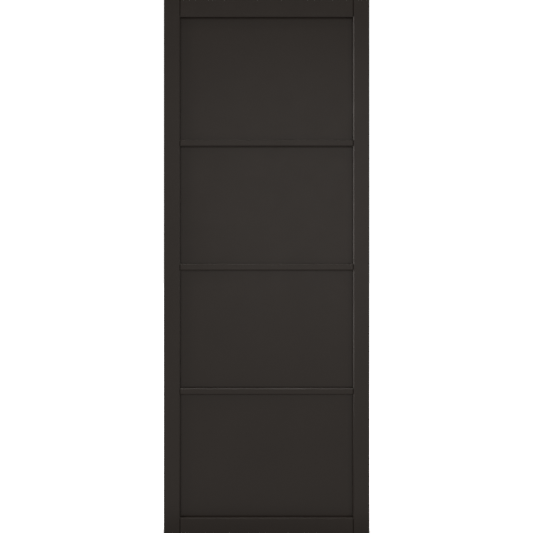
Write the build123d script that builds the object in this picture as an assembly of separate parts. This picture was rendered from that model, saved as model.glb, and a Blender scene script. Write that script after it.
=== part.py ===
"""Interior door leaf: stiles, rails and narrow cross bars round four flat recessed panels.

The leaf stands upright, as it hangs. X runs along its width, Y through its thickness with the front
face at -Y, and Z is up. The origin is at the middle of the bottom edge.

The stiles run the full height and carry one groove along their inner edges. The rails and bars butt
against the stiles with square shoulders, and their stub tenons and dowels enter the stiles. The
panels sit loose in the grooves all round. A bevel is cut round each panel opening on both faces.
"""

import os
from dataclasses import dataclass

from build123d import *

# The leaf as a whole
leaf_width = 762.0
leaf_height = 1981.0
leaf_thickness = 35.0

# Face widths of the members
stile_width = 60.0
top_rail_width = 64.0
bottom_rail_width = 59.0
bar_width = 25.0

# Sight height of each of the two panels between the bars; the outer two share the rest
inner_sight_height = 436.0

# Panels and the grooves that hold them
panel_thickness = 10.0
frame_groove_depth = 10.0
bar_groove_depth = 6.0
panel_face_clearance = 0.15
panel_edge_clearance = 1.0
panel_edge_chamfer = 1.0

# Stub tenons
tenon_cheek_clearance = 0.1
tenon_end_clearance = 1.0

# Edges and joint lines
opening_bevel = 4.0
arris_radius = 1.0
joint_line_width = 3.4
joint_line_depth = 3.0

# Dowels
rail_dowel_diameter = 8.0
rail_dowel_length = 60.0
rail_dowel_spacing = 25.0
bar_dowel_diameter = 6.0
bar_dowel_length = 50.0
dowel_wall_clearance = 0.1
dowel_end_clearance = 2.0
dowel_taper_length = 1.5
dowel_taper_angle = 40.0
rib_count = 12
rib_height = 0.4

# Sizes that follow from the ones above
half_width = leaf_width / 2
half_thickness = leaf_thickness / 2
half_sight_width = half_width - stile_width
groove_width = panel_thickness + 2 * panel_face_clearance
tenon_length = frame_groove_depth - tenon_end_clearance
tenon_thickness = groove_width - 2 * tenon_cheek_clearance
groove_floor_x = half_sight_width + frame_groove_depth
bar_pitch = inner_sight_height + bar_width
bar_span = 2 * bar_pitch + bar_width
outer_sight_height = (leaf_height - bottom_rail_width - top_rail_width - bar_span) / 2
middle_bar_height = bottom_rail_width + outer_sight_height + bar_span / 2


@dataclass
class CrossMember:
    """A rail or bar between the stiles, from low to high, with a groove in each edge that faces a panel."""

    name: str
    low: float
    high: float
    groove_below: float
    groove_above: float
    dowel_diameter: float
    dowel_length: float
    dowel_heights: dict


def make_rail(name, low, high, groove_below, groove_above):
    """A rail with two dowels at each end, even about the middle of the wood clear of its groove."""
    core_middle = (low + groove_below + high - groove_above) / 2
    heights = {
        "lower": core_middle - rail_dowel_spacing / 2,
        "upper": core_middle + rail_dowel_spacing / 2,
    }
    return CrossMember(
        name, low, high, groove_below, groove_above, rail_dowel_diameter, rail_dowel_length, heights
    )


def make_bar(name, centre):
    """A bar with a groove in both edges and one dowel at each end."""
    return CrossMember(
        name,
        centre - bar_width / 2,
        centre + bar_width / 2,
        bar_groove_depth,
        bar_groove_depth,
        bar_dowel_diameter,
        bar_dowel_length,
        {"": centre},
    )


cross_members = [
    make_rail("bottom_rail", 0.0, bottom_rail_width, 0.0, frame_groove_depth),
    make_bar("lower_bar", middle_bar_height - bar_pitch),
    make_bar("middle_bar", middle_bar_height),
    make_bar("upper_bar", middle_bar_height + bar_pitch),
    make_rail("top_rail", leaf_height - top_rail_width, leaf_height, frame_groove_depth, 0.0),
]
panel_names = ["bottom_panel", "lower_middle_panel", "upper_middle_panel", "top_panel"]
neighbours = list(zip(cross_members[:-1], cross_members[1:]))


def block(low, high):
    """A box between two corners."""
    size = [high[i] - low[i] for i in range(3)]
    middle = [(high[i] + low[i]) / 2 for i in range(3)]
    return Pos(*middle) * Box(*size)


def opening_bevel_cutters():
    """The frustums that bevel the members round each panel opening, mitred in the corners."""
    cutters = []
    for below, above in neighbours:
        sight_height = above.low - below.high
        frustum = Wedge(
            2 * half_sight_width + 2 * opening_bevel,
            opening_bevel,
            sight_height + 2 * opening_bevel,
            opening_bevel,
            opening_bevel,
            opening_bevel + 2 * half_sight_width,
            opening_bevel + sight_height,
        )
        middle_height = (below.high + above.low) / 2
        front = Pos(0, opening_bevel / 2 - half_thickness, middle_height) * frustum
        cutters += [front, mirror(front, about=Plane.XZ)]
    return cutters


def joint_line_cutters():
    """The narrow V-grooves on both faces along every shoulder."""
    cutters = []
    for side in (-1, 1):
        for face in (-1, 1):
            shoulder_x = side * half_sight_width
            surface_y = face * half_thickness
            outline = Polyline(
                (shoulder_x - joint_line_width / 2, surface_y),
                (shoulder_x, surface_y - face * joint_line_depth),
                (shoulder_x + joint_line_width / 2, surface_y),
                close=True,
            )
            groove_section = make_face(outline)
            for member in cross_members:
                length = member.high - member.low
                cutters.append(Pos(0, 0, member.low) * extrude(groove_section, length, dir=(0, 0, 1)))
    return cutters


def dowel_places():
    """Every dowel's name, member, side and height."""
    for member in cross_members:
        for side_name, side in (("left", -1), ("right", 1)):
            for position, height in member.dowel_heights.items():
                name = "_".join(part for part in (member.name, side_name, position, "dowel") if part)
                yield name, member, side, height


def dowel_hole_cutters():
    """The bores that hold the dowels, half in the stile and half in the rail or bar."""
    cutters = []
    for _, member, side, height in dowel_places():
        bore_radius = member.dowel_diameter / 2 + dowel_wall_clearance
        bore_length = member.dowel_length + 2 * dowel_end_clearance
        bore = Rot(0, 90, 0) * Cylinder(bore_radius, bore_length)
        cutters.append(Pos(side * groove_floor_x, 0, height) * bore)
    return cutters


def left_stile_blank():
    """A stile of full height with its panel groove."""
    stile = block((-half_width, -half_thickness, 0), (-half_sight_width, half_thickness, leaf_height))
    groove_low = (-groove_floor_x, -groove_width / 2, 0)
    groove_high = (-half_sight_width, groove_width / 2, leaf_height)
    return stile - block(groove_low, groove_high)


def cross_member_blank(member):
    """The member's section with its panel grooves, drawn out to length, with its ends cut to tenons."""
    height = member.high - member.low
    middle = (member.high + member.low) / 2
    section = Pos(0, middle) * Rectangle(leaf_thickness, height)
    if member.groove_below:
        section -= Pos(0, member.low + member.groove_below / 2) * Rectangle(groove_width, member.groove_below)
    if member.groove_above:
        section -= Pos(0, member.high - member.groove_above / 2) * Rectangle(groove_width, member.groove_above)
    end_x = half_sight_width + tenon_length
    blank = extrude(Plane.YZ * section, end_x, both=True)
    for side in (-1, 1):
        for face in (-1, 1):
            reach_x = sorted((side * half_sight_width, side * (end_x + tenon_length)))
            reach_y = sorted((face * tenon_thickness / 2, face * leaf_thickness))
            cheek_low = (reach_x[0], reach_y[0], member.low - bar_width)
            cheek_high = (reach_x[1], reach_y[1], member.high + bar_width)
            blank -= block(cheek_low, cheek_high)
    return blank


def panel(below, above):
    """A flat board with lightly chamfered edges, which reaches into the grooves all round."""
    reach_x = half_sight_width + frame_groove_depth - panel_edge_clearance
    low = below.high - below.groove_above + panel_edge_clearance
    high = above.low + above.groove_below - panel_edge_clearance
    half_panel = panel_thickness / 2
    board = block((-reach_x, -half_panel, low), (reach_x, half_panel, high))
    face_edges = board.faces().filter_by(Axis.Y).edges()
    return chamfer(face_edges, panel_edge_chamfer)


def ribbed_dowel(diameter, length):
    """A dowel along X with ribs from end to end, tapered at both tips."""
    radius = diameter / 2
    outline = []
    for turn in range(rib_count):
        for part_turn, reach in ((0, radius), (0.5, radius - rib_height)):
            outline.append(Vector(reach, 0).rotate(Axis.Z, (turn + part_turn) * 360 / rib_count))
    rod = extrude(make_face(Polyline(*outline, close=True)), length / 2, both=True)
    shank_end = length / 2 - dowel_taper_length
    hull_section = RegularPolygon(radius, rib_count)
    tip = extrude(Pos(0, 0, shank_end) * hull_section, dowel_taper_length, taper=dowel_taper_angle)
    upper_hull = extrude(hull_section, shank_end) + tip
    return Rot(0, 90, 0) * (rod & (upper_hull + mirror(upper_hull, about=Plane.XY)))


def machined(blank):
    """A member with its bevels, joint lines and dowel bores cut and the leaf's outer arrises eased."""
    reach = blank.bounding_box()
    for cutter in all_cutters:
        if reach.overlaps(cutter.bounding_box()):
            blank -= cutter
    return blank & leaf_envelope


leaf_block = block((-half_width, -half_thickness, 0), (half_width, half_thickness, leaf_height))
leaf_envelope = fillet(leaf_block.edges(), arris_radius)
all_cutters = opening_bevel_cutters() + joint_line_cutters() + dowel_hole_cutters()

parts = {"left_stile": machined(left_stile_blank())}
parts["right_stile"] = mirror(parts["left_stile"], about=Plane.YZ)
for member in cross_members:
    parts[member.name] = machined(cross_member_blank(member))
for name, (below, above) in zip(panel_names, neighbours):
    parts[name] = panel(below, above)
for name, member, side, height in dowel_places():
    dowel = ribbed_dowel(member.dowel_diameter, member.dowel_length)
    parts[name] = Pos(side * groove_floor_x, 0, height) * dowel

os.makedirs("parts", exist_ok=True)
for name, shape in parts.items():
    export_step(shape, f"parts/{name}.step")
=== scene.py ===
"""A black painted interior door leaf, seen square on from the front in soft studio light.

Lengths are in metres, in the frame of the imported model: X across the leaf, front face towards -Y,
Z up. Colours are linear.
"""

import math

import bpy
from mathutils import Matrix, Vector


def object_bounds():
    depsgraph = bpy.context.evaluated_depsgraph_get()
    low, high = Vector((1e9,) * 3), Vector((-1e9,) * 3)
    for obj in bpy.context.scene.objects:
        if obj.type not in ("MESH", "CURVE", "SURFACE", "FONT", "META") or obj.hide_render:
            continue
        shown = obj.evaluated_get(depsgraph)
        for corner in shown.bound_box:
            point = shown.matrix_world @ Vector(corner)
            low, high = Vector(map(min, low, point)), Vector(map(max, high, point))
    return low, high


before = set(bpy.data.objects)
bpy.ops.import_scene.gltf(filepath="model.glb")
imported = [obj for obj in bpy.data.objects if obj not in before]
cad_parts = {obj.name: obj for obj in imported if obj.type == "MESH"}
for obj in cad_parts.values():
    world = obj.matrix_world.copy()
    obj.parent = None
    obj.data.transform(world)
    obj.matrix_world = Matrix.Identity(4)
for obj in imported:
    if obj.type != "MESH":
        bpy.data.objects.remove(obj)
cad_low, cad_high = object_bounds()

# Camera: the leaf's height just overfills the picture, and its middle is at column LEAF_MIDDLE_PX
PICTURE_SIZE = 533
LEAF_MIDDLE_PX = 266.6
OVERFILL = 1.003
CAMERA_DISTANCE = 2.0
LEVEL_GAZE = math.radians(90)

# A noise keeps mostly to this middle range of its values
NOISE_SPAN = (0.3, 0.7)

# Paint. Noises are in cells to the metre, and along the grain there are ALONG_GRAIN times as many
PAINT_COLOUR = (0.0265, 0.0205, 0.0165)
PAINT_COLOUR_CHANGE = 0.05
PAINT_COLOUR_CELLS = 5
PAINT_ROUGHNESS = 0.36
PAINT_ROUGHNESS_CHANGE = 0.03
PAINT_ROUGHNESS_CELLS = 14
FILM_CELLS = 420
FILM_DEPTH = 0.00002
GRAIN_CELLS = 260
GRAIN_DEPTH = 0.00003
ALONG_GRAIN = 0.03
UPRIGHT_GRAIN = (1, 1, ALONG_GRAIN)
LEVEL_GRAIN = (ALONG_GRAIN, 1, 1)

# Bare beech of the dowels
BEECH_DARK = (0.42, 0.26, 0.14)
BEECH_LIGHT = (0.58, 0.4, 0.25)
BEECH_ROUGHNESS = 0.7
BEECH_CELLS = 300
BEECH_GRAIN = (0.06, 1, 1)
BEECH_GRAIN_DEPTH = 0.0001

# Studio. The backdrop and the open floor glow enough to show as pure white
WHITE = (1.0, 1.0, 1.0)
WARM_WHITE = (1.0, 0.945, 0.9)
AMBIENT = 0.262
WHITE_GLOW = 1.1
FLOOR_REACH = 30.0
FLOOR_COLOUR = (0.8, 0.8, 0.8)

# The floor's glow carries a painted shadow: it glows less where the leaf stands over it. Its openness
# is the share of the sky within
# SHADE_REACH that nothing hides, and over SHADE_SPAN it takes the glow from SHADE_GLOW to WHITE_GLOW
SHADE_GLOW = 0.4
SHADE_REACH = 0.6
SHADE_SPAN = (0.4, 0.95)

# The lights in front of the front face: location, target, size, and power in watts. Half a turn about
# the leaf's upright middle line gives those of the back
FACE_LIGHTS = [
    ((0.35, -2.8, 1.6), (0.15, 0, 1.1), (2.4, 2.4), 8.7),
    ((0.2, -1.05, 0.25), (0.2, -0.78, 1.2), (3.0, 1.85), 3.2),
    ((3.4, -1.9, 1.3), (0, 0, 1.1), (1.0, 2.4), 17),
    ((-2.4, -0.55, 1.5), (0.3, 0, 1.0), (0.45, 3.2), 21),
]
FRONT_LIGHT_NAMES = ["front", "front_bounce", "front_right", "left_strip"]
BACK_LIGHT_NAMES = ["back", "back_bounce", "back_left", "back_strip"]

leaf_size = cad_high - cad_low
leaf_middle = (cad_high + cad_low) / 2


class Material:
    """A node material built from Object coordinates, which are metres in the frame."""

    def __init__(self, name):
        self.data = bpy.data.materials.new(name)
        self.data.use_nodes = True
        self.tree = self.data.node_tree
        self.bsdf = self.tree.nodes["Principled BSDF"]
        self.coordinates = self.tree.nodes.new("ShaderNodeTexCoord").outputs["Object"]

    def link(self, output, socket):
        self.tree.links.new(output, socket)

    def noise(self, cells, detail, along_axes=(1, 1, 1)):
        """Noise with about `cells` cells to the metre, times the axis's share of `along_axes`."""
        mapping = self.tree.nodes.new("ShaderNodeMapping")
        mapping.inputs["Scale"].default_value = along_axes
        self.link(self.coordinates, mapping.inputs["Vector"])
        texture = self.tree.nodes.new("ShaderNodeTexNoise")
        texture.inputs["Scale"].default_value = cells
        texture.inputs["Detail"].default_value = detail
        self.link(mapping.outputs["Vector"], texture.inputs["Vector"])
        return texture.outputs["Fac"]

    def spread(self, value, low, high, span=NOISE_SPAN):
        """The span of a value spread from low to high."""
        node = self.tree.nodes.new("ShaderNodeMapRange")
        node.inputs["From Min"].default_value, node.inputs["From Max"].default_value = span
        node.inputs["To Min"].default_value = low
        node.inputs["To Max"].default_value = high
        self.link(value, node.inputs["Value"])
        return node.outputs["Result"]

    def blend(self, factor, first, second):
        """A colour between two others."""
        node = self.tree.nodes.new("ShaderNodeMix")
        node.data_type = "RGBA"
        self.link(factor, node.inputs["Factor"])
        node.inputs["A"].default_value = (*first, 1)
        node.inputs["B"].default_value = (*second, 1)
        return node.outputs["Result"]

    def bump(self, height, depth, below=None):
        """A bump of the given depth in metres, on top of another bump if there is one."""
        node = self.tree.nodes.new("ShaderNodeBump")
        node.inputs["Strength"].default_value = 1.0
        node.inputs["Distance"].default_value = depth
        self.link(height, node.inputs["Height"])
        if below:
            self.link(below, node.inputs["Normal"])
        return node.outputs["Normal"]


def painted(name, grain=None):
    """Sprayed satin black over wood, with the grain just showing through, or over smooth board."""
    material = Material(name)
    tone = material.spread(material.noise(PAINT_COLOUR_CELLS, detail=4), 0, 1)
    darker, lighter = (
        [factor * channel for channel in PAINT_COLOUR]
        for factor in (1 - PAINT_COLOUR_CHANGE, 1 + PAINT_COLOUR_CHANGE)
    )
    material.link(material.blend(tone, darker, lighter), material.bsdf.inputs["Base Color"])
    roughness = material.spread(
        material.noise(PAINT_ROUGHNESS_CELLS, detail=3),
        PAINT_ROUGHNESS - PAINT_ROUGHNESS_CHANGE,
        PAINT_ROUGHNESS + PAINT_ROUGHNESS_CHANGE,
    )
    material.link(roughness, material.bsdf.inputs["Roughness"])
    surface = material.bump(material.noise(FILM_CELLS, detail=1), FILM_DEPTH)
    if grain:
        grain_height = material.noise(GRAIN_CELLS, detail=3, along_axes=grain)
        surface = material.bump(grain_height, GRAIN_DEPTH, surface)
    material.link(surface, material.bsdf.inputs["Normal"])
    return material.data


def beech(name):
    """Bare beech with its grain along X."""
    material = Material(name)
    grain = material.noise(BEECH_CELLS, detail=4, along_axes=BEECH_GRAIN)
    colour = material.blend(material.spread(grain, 0, 1), BEECH_DARK, BEECH_LIGHT)
    material.link(colour, material.bsdf.inputs["Base Color"])
    material.bsdf.inputs["Roughness"].default_value = BEECH_ROUGHNESS
    material.link(material.bump(grain, BEECH_GRAIN_DEPTH), material.bsdf.inputs["Normal"])
    return material.data


def area_light(name, location, target, size, power):
    """A flat light that faces its target and that the camera doesn't see."""
    data = bpy.data.lights.new(name, "AREA")
    data.shape = "RECTANGLE"
    data.size, data.size_y = size
    data.energy = power
    data.color = WARM_WHITE
    light = bpy.data.objects.new(name, data)
    light.location = location
    light.rotation_euler = (Vector(target) - Vector(location)).to_track_quat("-Z", "Y").to_euler()
    light.visible_camera = False
    bpy.context.scene.collection.objects.link(light)


def half_turned(point):
    """A point after half a turn about the leaf's upright middle line."""
    x, y, z = point
    return (-x, -y, z)


def make_camera():
    """A level camera square to the front face."""
    data = bpy.data.cameras.new("camera")
    picture_height = leaf_size.z / OVERFILL
    data.lens = data.sensor_width * CAMERA_DISTANCE / picture_height
    camera = bpy.data.objects.new("camera", data)
    offset = (PICTURE_SIZE / 2 - LEAF_MIDDLE_PX) * picture_height / PICTURE_SIZE
    camera.location = (leaf_middle.x + offset, cad_low.y - CAMERA_DISTANCE, leaf_middle.z)
    camera.rotation_euler = (LEVEL_GAZE, 0, 0)
    bpy.context.scene.collection.objects.link(camera)
    bpy.context.scene.camera = camera


def make_floor():
    """A floor as white as the backdrop, with a painted shadow: its glow is darker close round the
    foot of the leaf.
    """
    mesh = bpy.data.meshes.new("floor")
    corners = [(FLOOR_REACH * x, FLOOR_REACH * y, 0) for x, y in ((-1, -1), (1, -1), (1, 1), (-1, 1))]
    mesh.from_pydata(corners, [], [(0, 1, 2, 3)])
    floor = bpy.data.objects.new("floor", mesh)
    bpy.context.scene.collection.objects.link(floor)
    material = Material("floor")
    # Painted shadow: the emission follows the floor's openness, so it dims under and beside the leaf
    openness = material.tree.nodes.new("ShaderNodeAmbientOcclusion")
    openness.inputs["Distance"].default_value = SHADE_REACH
    glow = material.spread(openness.outputs["AO"], SHADE_GLOW, WHITE_GLOW, span=SHADE_SPAN)
    material.bsdf.inputs["Base Color"].default_value = (*FLOOR_COLOUR, 1)
    material.bsdf.inputs["Roughness"].default_value = 1.0
    material.bsdf.inputs["Specular IOR Level"].default_value = 0.0
    material.bsdf.inputs["Emission Color"].default_value = (*WHITE, 1)
    material.link(glow, material.bsdf.inputs["Emission Strength"])
    mesh.materials.append(material.data)
    floor.visible_diffuse = False
    floor.visible_glossy = False


def make_world():
    """A white backdrop for the camera, and a dimmer, even light for everything else."""
    world = bpy.data.worlds.new("studio")
    world.use_nodes = True
    tree = world.node_tree
    ambient = tree.nodes["Background"]
    backdrop = tree.nodes.new("ShaderNodeBackground")
    for node, colour, strength in ((ambient, WARM_WHITE, AMBIENT), (backdrop, WHITE, WHITE_GLOW)):
        node.inputs["Color"].default_value = (*colour, 1)
        node.inputs["Strength"].default_value = strength
    path = tree.nodes.new("ShaderNodeLightPath")
    mix = tree.nodes.new("ShaderNodeMixShader")
    choice, seen_by_others, seen_by_camera = mix.inputs
    tree.links.new(path.outputs["Is Camera Ray"], choice)
    tree.links.new(ambient.outputs["Background"], seen_by_others)
    tree.links.new(backdrop.outputs["Background"], seen_by_camera)
    tree.links.new(mix.outputs["Shader"], tree.nodes["World Output"].inputs["Surface"])
    bpy.context.scene.world = world


def dress_nodes():
    """Give every node the material of its kind, which is the last word of its name."""
    upright_paint = painted("painted_upright_wood", UPRIGHT_GRAIN)
    level_paint = painted("painted_level_wood", LEVEL_GRAIN)
    materials = {
        "stile": upright_paint,
        "rail": level_paint,
        "bar": level_paint,
        "panel": painted("painted_board"),
        "dowel": beech("bare_beech"),
    }
    for name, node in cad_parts.items():
        kind = name.split("_")[-1]
        node.data.materials.clear()
        node.data.materials.append(materials[kind])


make_camera()
dress_nodes()
make_floor()
make_world()

for name, (location, target, size, power) in zip(FRONT_LIGHT_NAMES, FACE_LIGHTS):
    area_light(name, location, target, size, power)
area_light("top_strip", location=(0, -0.9, 4.9), target=(0, 0, 0.6), size=(2.4, 0.4), power=16)
for name, (location, target, size, power) in zip(BACK_LIGHT_NAMES, FACE_LIGHTS):
    area_light(name, half_turned(location), half_turned(target), size, power)

bpy.context.scene.view_settings.view_transform = "Standard"
